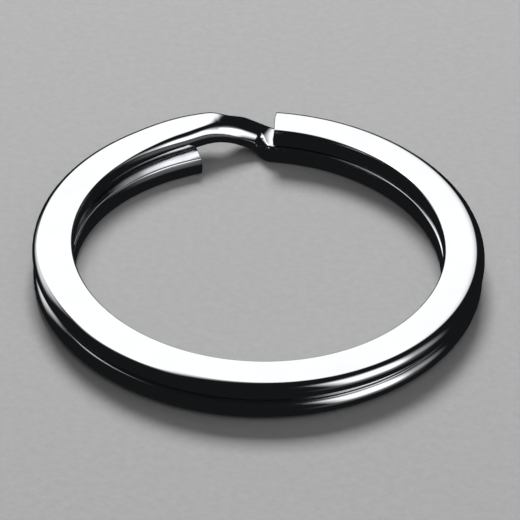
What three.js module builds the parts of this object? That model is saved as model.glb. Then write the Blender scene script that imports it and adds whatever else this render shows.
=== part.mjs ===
// A split key ring: one flat spring-steel wire, wound into two coils that lie on each other.
//
// Millimetres, +Z up. The origin is on the axis of the ring, level with the face that it lies on.
// The wire starts at a cut end in the upper coil, goes once round clockwise (seen from above), drops
// one coil through the crossover, passes under its own start, and goes round again to the lower end.
// A place on the wire is its "turn": the degrees wound from the upper end, 0 to TOTAL_TURN.
// The wire is one piece of steel. It is made as a row of short stretches, so that the coils can part.
import * as THREE from "three";

const OUTER_RADIUS = 15; // outside of a coil
const WIRE_WIDTH = 2.77; // along the radius of the ring
const WIRE_THICKNESS = 1.36; // along Z
const PITCH = 1.43; // from one coil to the other, along Z
const COIL_SHIFT = 0.03; // the upper coil's centre lies this far towards +X, the lower one's towards -X

const UPPER_END = 86.5; // azimuth of the upper coil's cut end, degrees from +X towards +Y
const LOWER_END = 110.8; // azimuth of the lower coil's cut end
const TOTAL_TURN = 720 + UPPER_END - LOWER_END;
const CURL = 0.85; // how far the lower end curls in towards the centre
const CURL_TURN = 95; // the curl is spread over this much of the wire

// The wire's section is flat above and below, with a round outer edge and small inner corners. The
// flats fall away a little towards the outer edge, and the inner wall bulges a little.
const OUTER_ROUND = 0.66; // radius of the outer edge
const OUTER_TILT = 5; // the flats have tilted by this many degrees where the outer edge starts
const CROWN_WIDTH = 0.42; // the flats fall away over this width, beside the outer edge
const LEVEL_WIDTH = 0.02; // at least this much of a flat is level, even in the crossover's neck
const INNER_CORNER = 0.15; // radius of the inner corners
const WALL_TILT = 70; // the tilt in degrees at which an inner corner turns into the inner wall

// In the crossover the wire drops by one pitch. It is pushed outwards there and pressed into a
// narrower neck: its inner side leads the drop, its top inner corner is widened into a bevel, and
// its outer edge has a dent. The spans are turns.
const DROP = [343, 360.4];
const DROP_EASE = 0.3; // share of the drop that is rounded at its top, and at its foot
const LEAD = 6; // the inner side starts to drop this many turns before the outer side
const LEAD_MIDDLE = 1.45; // where half of the lead is lost, from the inner wall
const LEAD_FADE = 0.35;
const KICK = 0.2; // how far the wire is pushed outwards
const KICK_IN = [317, 337];
const KICK_OUT = [355, 361];
const NECK = 0.7; // how far the inner wall is pressed outwards
const NECK_IN = [330, 350];
const NECK_OUT = [354, 360];
const DENT = 0.33; // how far the outer edge is pressed inwards
const DENT_IN = [341, 346];
const DENT_OUT = [346, 351];
const TOP_CORNER = 0.6; // radius of the top inner corner in the neck
const TOP_CORNER_IN = [305, 333];
const LOW_CORNER = 0.5; // radius of the lower inner corner in the neck
const LOW_CORNER_IN = [338, 349];
const BEVEL = 0.18; // length of the bevel in the top inner corner
const BEVEL_TILT = [44, 62]; // its tilt in degrees, at its upper and lower edge

const STRETCH = 30; // turn of one stretch of the coils
const STRETCHES = 5; // a coil has its end and two rows of this many stretches
const CROSSOVER_START = STRETCH * (2 * STRETCHES + 1);
const CROSSOVER_END = TOTAL_TURN - STRETCH * (2 * STRETCHES + 1);
const SEAM = 0.3; // gap between two stretches
const FACET = 5; // turn of one flat facet of a coil
const CROSSOVER_FACET = 2; // and of the crossover
const EDGE_FACETS = 7; // facets across the round outer edge
const CORNER_FACETS = 3; // facets across an inner corner

const MEAN_RADIUS = OUTER_RADIUS - WIRE_WIDTH / 2;
const SEAM_TURN = THREE.MathUtils.radToDeg(SEAM / MEAN_RADIUS);

const { smoothstep, clamp, lerp, degToRad } = THREE.MathUtils;

// A straight climb from 0 to 1, rounded over a share of its length at its foot and at its top.
function ramp(x, low, high, ease) {
  const t = clamp((x - low) / (high - low), 0, 1);
  const slope = 1 / (1 - ease);
  if (t < ease) {
    return (slope * t * t) / (2 * ease);
  }
  if (t > 1 - ease) {
    return 1 - (slope * (1 - t) * (1 - t)) / (2 * ease);
  }
  return slope * (t - ease / 2);
}

// 1 between two spans of turns, and 0 outside them.
function pressed(turn, fadeIn, fadeOut) {
  return smoothstep(turn, ...fadeIn) - smoothstep(turn, ...fadeOut);
}

function outwardAt(turn) {
  const azimuth = degToRad(UPPER_END - turn);
  return new THREE.Vector3(Math.cos(azimuth), Math.sin(azimuth), 0);
}

// The middle of the wire's section at a turn.
function centreAt(turn) {
  const drop = ramp(turn, ...DROP, DROP_EASE);
  const curl = CURL * smoothstep(turn, TOTAL_TURN - CURL_TURN, TOTAL_TURN);
  const kick = KICK * pressed(turn, KICK_IN, KICK_OUT);
  const centre = outwardAt(turn).multiplyScalar(MEAN_RADIUS + kick - curl);
  centre.x += lerp(COIL_SHIFT, -COIL_SHIFT, drop);
  centre.z = WIRE_THICKNESS / 2 + PITCH * (1 - drop);
  return centre;
}

// How far along the flat and down from it a corner has gone, where it has tilted by some degrees.
function cornerAt(tilt, radius, bevel) {
  const [first, last] = BEVEL_TILT.map(degToRad);
  const angle = degToRad(tilt);
  const inBevel = clamp(angle, first, last);
  const bevelRadius = bevel / (last - first);
  return {
    along: radius * Math.sin(angle) + bevelRadius * (Math.sin(inBevel) - Math.sin(first)),
    down: radius * (1 - Math.cos(angle)) + bevelRadius * (Math.cos(first) - Math.cos(inBevel)),
  };
}

// The wire's section at a turn: a closed loop of points, X outwards and Y up.
function sectionAt(turn) {
  const half = WIRE_THICKNESS / 2;
  const side = WIRE_WIDTH / 2;
  const neck = pressed(turn, NECK_IN, NECK_OUT);
  const topRadius = lerp(INNER_CORNER, TOP_CORNER, pressed(turn, TOP_CORNER_IN, NECK_OUT));
  const lowRadius = lerp(INNER_CORNER, LOW_CORNER, pressed(turn, LOW_CORNER_IN, NECK_OUT));
  const top = cornerAt(WALL_TILT, topRadius, BEVEL * neck);
  const low = cornerAt(WALL_TILT, lowRadius, 0);
  const outer = side - DENT * pressed(turn, DENT_IN, DENT_OUT);
  const inner = NECK * neck - side;
  const wallRadius = (WIRE_THICKNESS - top.down - low.down) / 2 / Math.cos(degToRad(WALL_TILT));
  const wallEdge = inner + wallRadius * (1 - Math.sin(degToRad(WALL_TILT)));
  const fall = (CROWN_WIDTH * Math.tan(degToRad(OUTER_TILT))) / 2;
  const outerHeight = (half - fall) / Math.cos(degToRad(OUTER_TILT));
  const outerStart = outer - OUTER_ROUND * (1 - Math.sin(degToRad(OUTER_TILT)));
  const flatEnd = Math.max(outerStart - CROWN_WIDTH, wallEdge + top.along + LEVEL_WIDTH);
  const points = [new THREE.Vector2(flatEnd, -half)];
  for (let i = 0; i <= EDGE_FACETS; i++) {
    const angle = degToRad(lerp(OUTER_TILT, 180 - OUTER_TILT, i / EDGE_FACETS));
    const x = outer - OUTER_ROUND * (1 - Math.sin(angle));
    points.push(new THREE.Vector2(x, -outerHeight * Math.cos(angle)));
  }
  points.push(new THREE.Vector2(flatEnd, half));
  for (let i = 0; i <= CORNER_FACETS; i++) {
    const { along, down } = cornerAt((WALL_TILT * i) / CORNER_FACETS, topRadius, BEVEL * neck);
    points.push(new THREE.Vector2(wallEdge + top.along - along, half - down));
  }
  points.push(new THREE.Vector2(inner, (low.down - top.down) / 2));
  for (let i = CORNER_FACETS; i >= 0; i--) {
    const { along, down } = cornerAt((WALL_TILT * i) / CORNER_FACETS, lowRadius, 0);
    points.push(new THREE.Vector2(wallEdge + low.along - along, down - half));
  }
  return points;
}

// The section at a turn, put in its place across the wire.
function ringAt(turn) {
  const step = 0.05;
  const centre = centreAt(turn);
  const along = centreAt(turn + step).sub(centreAt(turn - step)).normalize();
  const across = outwardAt(turn);
  across.addScaledVector(along, -across.dot(along)).normalize();
  const up = along.clone().cross(across);
  const drop = ramp(turn, ...DROP, DROP_EASE);
  return sectionAt(turn).map(({ x, y }) => {
    const point = centre.clone().addScaledVector(across, x).addScaledVector(up, y);
    const lead = LEAD / (1 + Math.exp((x + WIRE_WIDTH / 2 - LEAD_MIDDLE) / LEAD_FADE));
    point.z -= PITCH * (ramp(turn, DROP[0] - lead, DROP[1], DROP_EASE) - drop);
    return point;
  });
}

// One stretch of the wire: rings of points joined into a closed skin, with a cap on each end.
function wireStretch(start, end, facet) {
  const steps = Math.max(1, Math.ceil((end - start) / facet));
  const rings = [];
  for (let i = 0; i <= steps; i++) {
    rings.push(ringAt(lerp(start, end, i / steps)));
  }
  const corners = [];
  for (let i = 0; i < steps; i++) {
    const near = rings[i];
    const far = rings[i + 1];
    near.forEach((point, j) => {
      const k = (j + 1) % near.length;
      corners.push(point, near[k], far[k], point, far[k], far[j]);
    });
  }
  for (const [a, b, c] of THREE.ShapeUtils.triangulateShape(sectionAt(start), [])) {
    corners.push(rings[0][a], rings[0][c], rings[0][b]);
  }
  for (const [a, b, c] of THREE.ShapeUtils.triangulateShape(sectionAt(end), [])) {
    corners.push(rings[steps][a], rings[steps][b], rings[steps][c]);
  }
  const geometry = new THREE.BufferGeometry().setFromPoints(corners);
  geometry.computeVertexNormals();
  return geometry;
}

const steel = { color: 0xd9dbde, roughness: 0.12, metalness: 1 };
const group = new THREE.Group();

// The seams are open by SEAM. The two cut ends of the wire stand where they are.
function addStretch(name, start, end, facet = FACET) {
  const from = start === 0 ? start : start + SEAM_TURN / 2;
  const to = end === TOTAL_TURN ? end : end - SEAM_TURN / 2;
  const mesh = new THREE.Mesh(wireStretch(from, to, facet), new THREE.MeshStandardMaterial(steel));
  mesh.name = name;
  group.add(mesh);
}

// A row of stretches, numbered along the wire.
function addRow(prefix, first, start) {
  for (let i = 0; i < STRETCHES; i++) {
    const number = String(first + i).padStart(2, "0");
    addStretch(`${prefix}_${number}`, start + i * STRETCH, start + (i + 1) * STRETCH);
  }
}

addStretch("upper_end", 0, STRETCH);
addRow("upper_coil", 1, STRETCH);
addRow("upper_coil", STRETCHES + 1, STRETCH * (STRETCHES + 1));
addStretch("crossover_bend", CROSSOVER_START, CROSSOVER_END, CROSSOVER_FACET);
addRow("lower_coil", 1, CROSSOVER_END);
addRow("lower_coil", STRETCHES + 1, CROSSOVER_END + STRETCH * STRETCHES);
addStretch("lower_end", TOTAL_TURN - STRETCH, TOTAL_TURN);

export default group;
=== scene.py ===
"""A polished split key ring: one flat steel wire, wound into two coils that lie on each other.

Metres, +Z up, +Y towards the crossover, where the wire steps from one coil to the other and both cut ends
are. A place on the wire is its "turn": the degrees wound from the upper end, clockwise seen from above. The
wire is made in lengths that meet edge to edge. The lengths near the cut ends are tied to no body; the rest
hang on the middle one.
"""
import math

import bpy
import numpy as np
from mathutils import Matrix, Vector


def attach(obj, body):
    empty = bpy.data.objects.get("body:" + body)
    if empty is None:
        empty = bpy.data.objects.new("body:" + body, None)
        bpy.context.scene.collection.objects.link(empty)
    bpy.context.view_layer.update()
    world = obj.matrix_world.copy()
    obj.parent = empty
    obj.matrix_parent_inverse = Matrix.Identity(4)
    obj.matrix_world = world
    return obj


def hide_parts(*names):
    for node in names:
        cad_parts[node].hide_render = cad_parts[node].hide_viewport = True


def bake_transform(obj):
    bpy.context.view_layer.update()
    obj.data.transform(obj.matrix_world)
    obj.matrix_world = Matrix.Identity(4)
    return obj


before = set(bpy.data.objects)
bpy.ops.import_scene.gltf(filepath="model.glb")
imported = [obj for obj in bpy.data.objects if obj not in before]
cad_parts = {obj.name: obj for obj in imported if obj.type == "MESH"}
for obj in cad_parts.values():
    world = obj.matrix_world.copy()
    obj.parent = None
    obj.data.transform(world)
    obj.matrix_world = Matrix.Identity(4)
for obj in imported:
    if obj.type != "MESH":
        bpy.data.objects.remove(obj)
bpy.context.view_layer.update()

# ---------------------------------------------------------------- the wire's driving dimensions
MM = 0.001
OUTER_RADIUS = 15 * MM  # of both coils
WIRE_WIDTH = 2.77 * MM
WIRE_THICKNESS = 1.36 * MM
PITCH = 1.43 * MM  # from one coil to the other
COIL_SHIFT = 0.03 * MM  # the upper coil lies this far towards +X, the lower one towards -X
UPPER_END = 86.5  # azimuth of the upper coil's cut end, degrees from +X towards +Y
LOWER_END = 110.8  # azimuth of the lower coil's cut end
TOTAL_TURN = 720 + UPPER_END - LOWER_END
CURL = 0.85 * MM  # how far the lower end curls in towards the centre
CURL_TURN = 95  # the curl is spread over this much of the wire
MEAN_RADIUS = OUTER_RADIUS - WIRE_WIDTH / 2

# The crossover: the wire drops by one pitch, pushed outwards and pressed into a narrower neck. Its inner side
# leads the drop, its inner top corner is pressed into a wide bevel, and its outer edge has a dent. The spans
# are turns.
DROP = (343, 360.4)
DROP_EASE = 0.3  # share of the drop that is rounded at its top, and at its foot
LEAD = 6  # the inner side starts to drop this many turns before the outer side
LEAD_MIDDLE = 1.45 * MM  # where half of the lead is lost, from the inner wall
LEAD_FADE = 0.35 * MM
KICK = 0.2 * MM  # how far the wire is pushed outwards
KICK_IN = (317, 337)
KICK_OUT = (355, 361)
NECK = 0.7 * MM  # how far the inner wall is pressed outwards
NECK_IN = (330, 350)
NECK_OUT = (354, 360)
DENT = 0.33 * MM  # how far the outer edge is pressed inwards
DENT_IN = (341, 346)
DENT_OUT = (346, 351)
TOP_CORNER = 0.6 * MM  # radius of the top inner corner in the neck
TOP_CORNER_IN = (305, 333)
LOW_CORNER = 0.5 * MM  # radius of the lower inner corner in the neck
LOW_CORNER_IN = (338, 349)
BEVEL = 0.18 * MM  # length of the bevel in the top inner corner
BEVEL_TILT = (math.radians(44), math.radians(62))  # its tilt, at its upper and lower edge

# The section: flat above and below, a full round on its outer edge, and small corners on its inner one.
OUTER_ROUND = 0.66 * MM
INNER_CORNER = 0.15 * MM
CROWN_WIDTH = 0.42 * MM  # the flats fall away over this width, beside the outer edge
CROWN_ANGLE = math.radians(5)  # their tilt where the outer edge starts
WALL_ANGLE = math.radians(70)  # the tilt at which an inner corner turns into the inner wall

RING_STEP = 0.75  # turn between two rings of points
END_INSET = 0.07 * MM  # how far a cut end's rim is rolled over
END_LEAN = 0.8  # how far its normals lean towards the cut
END_RINGS = (0.15, 0.4, 0.7, 1.0, 1.6)  # the rim's extra rings of points, in insets from the cut
END_WAVE = 0.025 * MM  # how uneven the cut is
END_WAVE_DEPTH = 6  # the unevenness is gone this many insets from the cut
END_WAVES = ((3, 1, 1), (7, 0, 0.6), (17, 0, 0.4))  # count round the section, phase and share of each

STRETCH = 30  # turn from one hinge to the next
HINGES = 6  # from each cut end


def smoothstep(x, low, high):
    t = np.clip((x - low) / (high - low), 0, 1)
    return t * t * (3 - 2 * t)


def ramp(x, low, high, ease):
    """A straight climb from 0 to 1, rounded over a share of its length at its foot and at its top."""
    t = np.clip((x - low) / (high - low), 0, 1)
    slope = 1 / (1 - ease)
    foot = slope * t**2 / (2 * ease)
    top = 1 - slope * (1 - t) ** 2 / (2 * ease)
    return np.where(t < ease, foot, np.where(t > 1 - ease, top, slope * (t - ease / 2)))


def unit(v):
    return v / np.linalg.norm(v, axis=-1, keepdims=True)


# ---------------------------------------------------------------- the wire's path
def path_centre(turn):
    """Centre of the wire's section at each turn, and its outward direction in the ring's plane."""
    azimuth = np.radians(UPPER_END - turn)
    outward = np.stack([np.cos(azimuth), np.sin(azimuth), np.zeros_like(azimuth)], -1)
    drop = ramp(turn, *DROP, DROP_EASE)
    kick = KICK * (smoothstep(turn, *KICK_IN) - smoothstep(turn, *KICK_OUT))
    curl = CURL * smoothstep(turn, TOTAL_TURN - CURL_TURN, TOTAL_TURN)
    centre = outward * (MEAN_RADIUS + kick - curl)[:, None]
    centre[:, 0] += COIL_SHIFT * (1 - 2 * drop)
    centre[:, 2] = WIRE_THICKNESS / 2 + PITCH * (1 - drop)
    return centre, outward


def path_frame(turn):
    """Centre of the section, and the directions of its width and its thickness."""
    centre, outward = path_centre(turn)
    step = 0.05
    along = unit(path_centre(turn + step)[0] - path_centre(turn - step)[0])
    across = unit(outward - along * np.sum(outward * along, -1, keepdims=True))
    return centre, across, np.cross(along, across)


# ---------------------------------------------------------------- the wire's section
FLAT = np.linspace(0, 1, 13)[:-1]
ARC = np.linspace(0, 1, 29)[:-1]
CORNER = np.linspace(0, 1, 13)[:-1]
WALL = np.linspace(0, 1, 9)[:-1]


def section(turn):
    """The section at each turn: a closed loop of points (outwards, up), anticlockwise from the inner end
    of the underside. Shape (turn, point, 2)."""
    turn = turn[:, None]
    out = smoothstep(turn, *NECK_OUT)
    neck = smoothstep(turn, *NECK_IN) - out
    top_corner = INNER_CORNER + (TOP_CORNER - INNER_CORNER) * (smoothstep(turn, *TOP_CORNER_IN) - out)
    low_corner = INNER_CORNER + (LOW_CORNER - INNER_CORNER) * (smoothstep(turn, *LOW_CORNER_IN) - out)
    bevel = BEVEL * neck / (BEVEL_TILT[1] - BEVEL_TILT[0])
    dent = smoothstep(turn, *DENT_IN) - smoothstep(turn, *DENT_OUT)
    half, side = WIRE_THICKNESS / 2, WIRE_WIDTH / 2
    outer = side - DENT * dent
    inner = -side + NECK * neck

    def corner(tilt, radius, widening):
        """How far in and down a corner has gone, where the surface has tilted by this much."""
        pressed = np.clip(tilt, *BEVEL_TILT)
        along = radius * np.sin(tilt) + widening * (np.sin(pressed) - math.sin(BEVEL_TILT[0]))
        down = radius * (1 - np.cos(tilt)) + widening * (math.cos(BEVEL_TILT[0]) - np.cos(pressed))
        return along, down

    top_reach, top_fall = corner(WALL_ANGLE, top_corner, bevel)
    low_reach, low_fall = corner(WALL_ANGLE, low_corner, 0)
    wall_half = (WIRE_THICKNESS - top_fall - low_fall) / 2
    wall_middle = (low_fall - top_fall) / 2
    wall_radius = wall_half / math.cos(WALL_ANGLE)
    wall_edge = inner + wall_radius * (1 - math.sin(WALL_ANGLE))
    crown_end = outer - OUTER_ROUND * (1 - math.sin(CROWN_ANGLE))
    crown_fall = CROWN_WIDTH * math.tan(CROWN_ANGLE) / 2
    outer_height = (half - crown_fall) / math.cos(CROWN_ANGLE)

    def flat(share, reach, sign):
        start = wall_edge + reach
        u = start + (crown_end - start) * share
        fall = np.clip((u - crown_end) / CROWN_WIDTH + 1, 0, 1)
        return u, sign * (half - crown_fall * fall**2)

    def inner_corner(tilt, reach, radius, widening, sign):
        along, down = corner(tilt, radius, widening)
        return wall_edge + reach - along, sign * (half - down)

    angle = CROWN_ANGLE + (math.pi - 2 * CROWN_ANGLE) * ARC
    wall = (2 * WALL - 1) * (math.pi / 2 - WALL_ANGLE)
    pieces = [
        flat(FLAT, low_reach, -1),
        (outer - OUTER_ROUND * (1 - np.sin(angle)), -outer_height * np.cos(angle) * np.ones_like(outer)),
        flat(1 - FLAT, top_reach, 1),
        inner_corner(WALL_ANGLE * CORNER, top_reach, top_corner, bevel, 1),
        (inner + wall_radius * (1 - np.cos(wall)), wall_middle - wall_radius * np.sin(wall)),
        inner_corner(WALL_ANGLE * (1 - CORNER), low_reach, low_corner, 0, -1),
    ]
    return np.stack([np.concatenate([p[i] for p in pieces], 1) for i in (0, 1)], -1)


PLAIN = section(np.zeros(1))[0]
PLAIN_STEP = np.linalg.norm(np.roll(PLAIN, -1, 0) - PLAIN, axis=1)
AROUND = np.concatenate([[0], np.cumsum(PLAIN_STEP)])  # the way round the section to each point


def place(turn, loop):
    """Puts each section's points into space."""
    centre, across, up = path_frame(turn)
    points = centre[:, None] + across[:, None] * loop[..., 0, None] + up[:, None] * loop[..., 1, None]
    lead = LEAD / (1 + np.exp((loop[..., 0] + WIRE_WIDTH / 2 - LEAD_MIDDLE) / LEAD_FADE))
    turn = turn[:, None]
    points[..., 2] -= PITCH * (ramp(turn, DROP[0] - lead, DROP[1], DROP_EASE) - ramp(turn, *DROP, DROP_EASE))
    return points


def surface(turn):
    """Points and outward normals of the swept wire: arrays (turn, section point, 3)."""
    points = place(turn, section(turn))
    around = np.roll(points, -1, 1) - np.roll(points, 1, 1)
    step = 0.02
    along = place(turn + step, section(turn + step)) - place(turn - step, section(turn - step))
    return points, unit(np.cross(around, along))


# ---------------------------------------------------------------- meshes
def make_object(name, vertices, faces, material_index, normals, uvs, materials):
    mesh = bpy.data.meshes.new(name)
    mesh.from_pydata([tuple(v) for v in vertices], [], faces)
    for material in materials:
        mesh.materials.append(material)
    mesh.polygons.foreach_set("material_index", material_index)
    mesh.polygons.foreach_set("use_smooth", [True] * len(mesh.polygons))
    layer = mesh.uv_layers.new(name="wire")
    layer.data.foreach_set("uv", np.array(uvs, np.float32).ravel())
    mesh.normals_split_custom_set([tuple(n) for n in normals])
    mesh.validate()
    obj = bpy.data.objects.new(name, mesh)
    bpy.context.scene.collection.objects.link(obj)
    return obj


def roll_over(points, normals, turn, cut, side):
    """Draws a cut end's last rings in, so that the cut has a rounded and slightly uneven rim.

    side is 1 where the wire goes on towards higher turns, and -1 where it comes from lower ones.
    """
    depth = (turn - cut) * side * math.radians(1) * MEAN_RADIUS / END_INSET
    inset = END_INSET * (1 - np.sqrt(1 - np.clip(1 - depth, 0, 1) ** 2))
    angle = np.linspace(0, 2 * math.pi, points.shape[1], endpoint=False)
    wave = END_WAVE * sum(share * np.sin(count * angle + phase) for count, phase, share in END_WAVES)
    _, across, up = path_frame(turn)
    along = np.cross(across, up) * side
    fade = np.clip(1 - depth / END_WAVE_DEPTH, 0, 1)
    moved = points - normals * inset[:, None, None] + along[:, None] * (wave[None] * fade[:, None])[..., None]
    lean = np.clip(1 - depth, 0, 1)[:, None, None] * END_LEAN
    return moved, unit(normals * (1 - lean) - along[:, None] * lean)


def ring_turns(start, end, cut_start, cut_end):
    """The turns of a length's rings, closer together at a cut end's rim."""
    count = max(2, int(round((end - start) / RING_STEP)))
    turn = list(np.linspace(start, end, count + 1))
    rim = np.degrees(END_INSET * np.array(END_RINGS) / MEAN_RADIUS)
    if cut_start:
        turn += list(start + rim)
    if cut_end:
        turn += list(end - rim)
    return np.array(sorted(turn))


def wire_length(name, start, end, materials, cut_start=False, cut_end=False):
    """A closed length of the wire from one turn to another."""
    turn = ring_turns(start, end, cut_start, cut_end)
    points, normals = surface(turn)
    if cut_start:
        points, normals = roll_over(points, normals, turn, start, 1)
    if cut_end:
        points, normals = roll_over(points, normals, turn, end, -1)
    n = len(PLAIN)
    faces, loop_normals, loop_uvs, index = [], [], [], []
    arc = np.radians(turn) * MEAN_RADIUS / MM
    around = AROUND / MM
    for i in range(len(turn) - 1):
        for j in range(n):
            k = (j + 1) % n
            corners = [(i, j), (i, k), (i + 1, k), (i + 1, j)]
            faces.append([a * n + b for a, b in corners])
            loop_normals.extend(normals[a, b] for a, b in corners)
            loop_uvs.extend([(arc[i], around[j]), (arc[i], around[j + 1]),
                             (arc[i + 1], around[j + 1]), (arc[i + 1], around[j])])
            index.append(0)
    for ring, order, sign in ((0, list(range(n))[::-1], -1), (len(turn) - 1, list(range(n)), 1)):
        faces.append([ring * n + j for j in order])
        centre, across, up = path_frame(turn[ring:ring + 1])
        facing = sign * unit(np.cross(across[0], up[0]))
        loop_normals.extend([facing] * n)
        loop_uvs.extend([(arc[ring] + PLAIN[j, 0] / MM, PLAIN[j, 1] / MM) for j in order])
        index.append(1)
    return make_object(name, points.reshape(-1, 3), faces, index, loop_normals, loop_uvs, materials)


# ---------------------------------------------------------------- materials
def new_material(name):
    material = bpy.data.materials.new(name)
    material.use_nodes = True
    tree = material.node_tree
    return material, tree, tree.nodes["Principled BSDF"]


def add(tree, kind, **values):
    node = tree.nodes.new(kind)
    for key, value in values.items():
        if hasattr(node, key):
            setattr(node, key, value)
        else:
            node.inputs[key.replace("_", " ")].default_value = value
    return node


def wire_coordinates(tree, scale):
    """The wire's own coordinates in millimetres, along it and around it, times a scale."""
    uv = add(tree, "ShaderNodeUVMap", uv_map="wire")
    mapping = add(tree, "ShaderNodeMapping")
    mapping.inputs["Scale"].default_value = scale
    tree.links.new(uv.outputs["UV"], mapping.inputs["Vector"])
    return mapping.outputs["Vector"]


def noise(tree, vector, scale, detail=2.0, roughness=0.5):
    node = add(tree, "ShaderNodeTexNoise", Scale=scale, Detail=detail, Roughness=roughness)
    tree.links.new(vector, node.inputs["Vector"])
    return node.outputs["Fac"]


def remap(tree, value, low, high, to_low, to_high):
    node = add(tree, "ShaderNodeMapRange")
    for key, number in zip(("From Min", "From Max", "To Min", "To Max"), (low, high, to_low, to_high)):
        node.inputs[key].default_value = number
    tree.links.new(value, node.inputs["Value"])
    return node.outputs["Result"]


def math_node(tree, operation, a, b):
    node = add(tree, "ShaderNodeMath", operation=operation)
    for socket, value in zip(node.inputs, (a, b)):
        if isinstance(value, (int, float)):
            socket.default_value = value
        else:
            tree.links.new(value, socket)
    return node.outputs["Value"]


def mix_colours(tree, share, first, second):
    node = add(tree, "ShaderNodeMix", data_type="RGBA")
    node.inputs["A"].default_value = (*first, 1)
    node.inputs["B"].default_value = (*second, 1)
    tree.links.new(share, node.inputs["Factor"])
    return node.outputs["Result"]


def bump(tree, height, strength, distance, normal=None):
    node = add(tree, "ShaderNodeBump", Strength=strength, Distance=distance)
    tree.links.new(height, node.inputs["Height"])
    if normal is not None:
        tree.links.new(normal, node.inputs["Normal"])
    return node.outputs["Normal"]


def polished_nickel():
    """Bright nickel plate: mirror polish, with faint drawing lines along the wire and hairline scratches."""
    material, tree, shader = new_material("polished_nickel")
    lines = noise(tree, wire_coordinates(tree, (0.12, 14, 1)), scale=1.0, detail=3.0)
    smudge = noise(tree, wire_coordinates(tree, (1, 1, 1)), scale=0.35, detail=4.0, roughness=0.6)
    scratch = noise(tree, wire_coordinates(tree, (0.5, 9, 1)), scale=1.0, detail=6.0, roughness=0.75)
    hairline = remap(tree, scratch, 0.62, 0.66, 0.0, 1.0)
    roughness = math_node(tree, "ADD", remap(tree, smudge, 0.35, 0.7, 0.05, 0.11),
                          math_node(tree, "MULTIPLY", hairline, 0.08))
    tree.links.new(roughness, shader.inputs["Roughness"])
    smudged = remap(tree, smudge, 0.45, 0.75, 0.0, 1.0)
    colour = mix_colours(tree, smudged, (0.79, 0.80, 0.82), (0.765, 0.775, 0.80))
    tree.links.new(colour, shader.inputs["Base Color"])
    shader.inputs["Metallic"].default_value = 1.0
    fine = bump(tree, lines, 0.12, 0.004 * MM)
    tree.links.new(bump(tree, hairline, 0.10, 0.002 * MM, fine), shader.inputs["Normal"])
    return material


def sheared_steel():
    """The sheared end of the wire: duller, with the cutter's lines."""
    material, tree, shader = new_material("sheared_steel")
    grain = noise(tree, wire_coordinates(tree, (3, 12, 1)), scale=1.0, detail=4.0, roughness=0.6)
    tree.links.new(remap(tree, grain, 0.3, 0.7, 0.22, 0.42), shader.inputs["Roughness"])
    colour = mix_colours(tree, grain, (0.42, 0.43, 0.45), (0.62, 0.63, 0.65))
    tree.links.new(colour, shader.inputs["Base Color"])
    shader.inputs["Metallic"].default_value = 1.0
    tree.links.new(bump(tree, grain, 0.4, 0.01 * MM), shader.inputs["Normal"])
    return material


def floor_material():
    material, tree, shader = new_material("pale_floor")
    coordinates = add(tree, "ShaderNodeTexCoord")
    grain = noise(tree, coordinates.outputs["Object"], scale=1800.0, detail=3.0, roughness=0.6)
    colour = mix_colours(tree, grain, (0.34, 0.34, 0.345), (0.42, 0.42, 0.425))
    tree.links.new(colour, shader.inputs["Base Color"])
    shader.inputs["Roughness"].default_value = 0.75
    tree.links.new(bump(tree, grain, 0.35, 0.08 * MM), shader.inputs["Normal"])
    return material


STEEL = [polished_nickel(), sheared_steel()]  # of the wire's skin, and of its ends


# ---------------------------------------------------------------- the pieces
def point_at(turn):
    return Vector(path_centre(np.array([float(turn)]))[0][0])


def add_bending_row(prefix, tip, direction, nodes):
    """The six lengths from a cut end to the part that stays whole."""
    pieces = []
    for k in range(HINGES):
        near = tip + direction * STRETCH * (0 if k == 0 else k + 0.5)
        far = tip + direction * STRETCH * (k + 1.5)
        low, high = sorted((near, far))
        piece = wire_length(f"{prefix}_{k + 1}", low, high, STEEL,
                            cut_start=k == 0 and direction > 0, cut_end=k == 0 and direction < 0)
        start = tip + direction * STRETCH * (k + 0.5)
        point_at(start)
        point_at(far)
        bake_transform(piece)
        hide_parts(nodes[k])
        pieces.append(piece)
    return pieces


def add_whole(name, start, end, nodes):
    piece = wire_length(name, start, end, STEEL)
    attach(piece, "middle")
    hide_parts(*nodes)
    return piece


upper_nodes = ["upper_end"] + [f"upper_coil_{i:02d}" for i in range(1, 6)]
lower_nodes = ["lower_end"] + [f"lower_coil_{i:02d}" for i in range(10, 5, -1)]
whole_upper_nodes = [f"upper_coil_{i:02d}" for i in range(6, 11)]
whole_lower_nodes = [f"lower_coil_{i:02d}" for i in range(1, 6)]
bend_end = STRETCH * (HINGES + 0.5)
crossover = (11 * STRETCH, TOTAL_TURN - 11 * STRETCH)

add_bending_row("wire_upper_length", 0, 1, upper_nodes)
add_whole("wire_upper_coil", bend_end, crossover[0], whole_upper_nodes)
add_whole("wire_crossover", *crossover, ["crossover_bend"])
add_whole("wire_lower_coil", crossover[1], TOTAL_TURN - bend_end, whole_lower_nodes)
add_bending_row("wire_lower_length", TOTAL_TURN, -1, lower_nodes)


# ---------------------------------------------------------------- camera
CAMERA_ELEVATION = 38.5
CAMERA_ROLL = -1.9
CAMERA_DISTANCE = 200 * MM
CAMERA_OFFSET = (0.14 * MM, -1.35 * MM)  # of the line of sight from the centre of the ring's top face
FOCAL_LENGTH = 209.1


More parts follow.
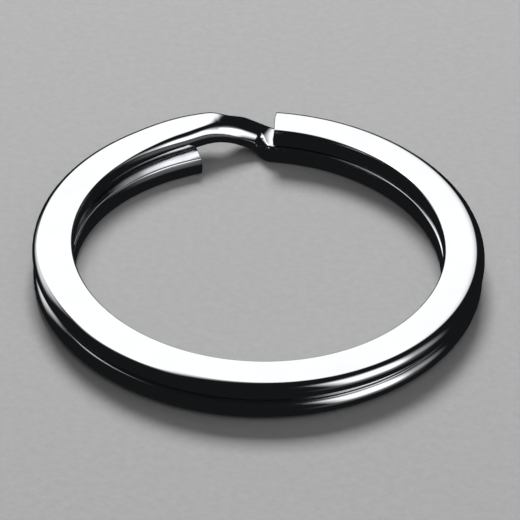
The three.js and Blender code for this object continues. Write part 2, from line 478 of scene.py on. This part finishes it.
def add_camera():
    tilt, roll = math.radians(CAMERA_ELEVATION), math.radians(CAMERA_ROLL)
    forward = Vector((0, math.cos(tilt), -math.sin(tilt)))
    right = Vector((1, 0, 0))
    up = right.cross(forward)
    top = Vector((0, 0, PITCH + WIRE_THICKNESS))
    position = top - forward * CAMERA_DISTANCE + right * CAMERA_OFFSET[0] + up * CAMERA_OFFSET[1]
    rolled_right = right * math.cos(roll) - up * math.sin(roll)
    rolled_up = right * math.sin(roll) + up * math.cos(roll)
    rotation = Matrix((rolled_right, rolled_up, -forward)).transposed()
    data = bpy.data.cameras.new("camera")
    data.sensor_width = 36
    data.lens = FOCAL_LENGTH
    data.clip_start, data.clip_end = 0.01, 10
    camera = bpy.data.objects.new("camera", data)
    camera.matrix_world = Matrix.Translation(position) @ rotation.to_4x4()
    bpy.context.scene.collection.objects.link(camera)
    bpy.context.scene.camera = camera


# ---------------------------------------------------------------- floor and light
def add_floor():
    """A plain sheet. The ring's polish mirrors the dark studio rather than the sheet."""
    size = 1.2
    bpy.ops.mesh.primitive_plane_add(size=size, location=(0, 0, 0))
    floor = bpy.context.object
    floor.name = "floor"
    floor.data.materials.append(floor_material())
    floor.visible_glossy = False
    return floor


def soften(data, fade):
    """Fades a panel's glow towards its rim. The fade is a share of half its width and of half its height."""
    data.use_nodes = True
    tree = data.node_tree
    emission = tree.nodes["Emission"]
    geometry = add(tree, "ShaderNodeNewGeometry")
    split = add(tree, "ShaderNodeSeparateXYZ")
    tree.links.new(geometry.outputs["Parametric"], split.inputs["Vector"])
    parts = []
    for socket in ("X", "Y"):
        from_middle = math_node(tree, "ABSOLUTE", math_node(tree, "SUBTRACT", split.outputs[socket], 0.5), 0)
        node = add(tree, "ShaderNodeMapRange", interpolation_type="SMOOTHSTEP")
        node.inputs["From Min"].default_value = 0.5
        node.inputs["From Max"].default_value = 0.5 * (1 - fade)
        tree.links.new(from_middle, node.inputs["Value"])
        parts.append(node.outputs["Result"])
    tree.links.new(math_node(tree, "MULTIPLY", *parts), emission.inputs["Strength"])


def add_panel(name, azimuth, elevation, half_width, half_height, radiance,
              fade=0.0, mirrored=True, distance=0.6):
    """A rectangular softbox that faces the ring: its place, and half of its extent, in degrees.

    Azimuth is measured from +Y towards +X. A panel is either mirrored in the ring or lights the floor.
    """
    a, e = math.radians(azimuth), math.radians(elevation)
    towards = Vector((math.sin(a) * math.cos(e), math.cos(a) * math.cos(e), math.sin(e)))
    data = bpy.data.lights.new(name, "AREA")
    data.shape = "RECTANGLE"
    data.size = 2 * distance * math.tan(math.radians(half_width))
    data.size_y = 2 * distance * math.tan(math.radians(half_height))
    data.energy = radiance * math.pi * data.size * data.size_y
    if fade:
        soften(data, fade)
    light = bpy.data.objects.new(name, data)
    light.location = towards * distance
    light.rotation_mode = "QUATERNION"
    light.rotation_quaternion = towards.to_track_quat("Z", "Y")
    light.visible_glossy = mirrored
    light.visible_diffuse = not mirrored
    bpy.context.scene.collection.objects.link(light)
    return light


def add_light():
    world = bpy.data.worlds.new("studio")
    bpy.context.scene.world = world
    world.use_nodes = True
    background = world.node_tree.nodes["Background"]
    background.inputs["Color"].default_value = (0.9, 0.95, 1.0, 1)
    background.inputs["Strength"].default_value = 0.01
    add_panel("back_softbox", -17.5, 38, 31, 28, 1.25, fade=0.4)
    add_panel("left_softbox", -52, 18, 22, 26, 0.8, fade=0.8)
    add_panel("upper_left_fill", -56, 60, 26, 20, 1.8, fade=0.8)
    add_panel("right_softbox", 126, 24, 24, 34, 1.35, fade=0.7, distance=0.25)
    add_panel("right_fill", 104, 22, 24, 30, 0.4, fade=0.9)
    add_panel("floor_glow", 125, -12, 34, 14, 0.10, fade=0.8)
    add_panel("floor_key", -6, 48, 12, 10, 26, mirrored=False)
    add_panel("floor_fill", 150, 70, 40, 40, 0.5, mirrored=False)


add_camera()
add_floor()
add_light()
bpy.context.scene.view_settings.view_transform = "Standard"
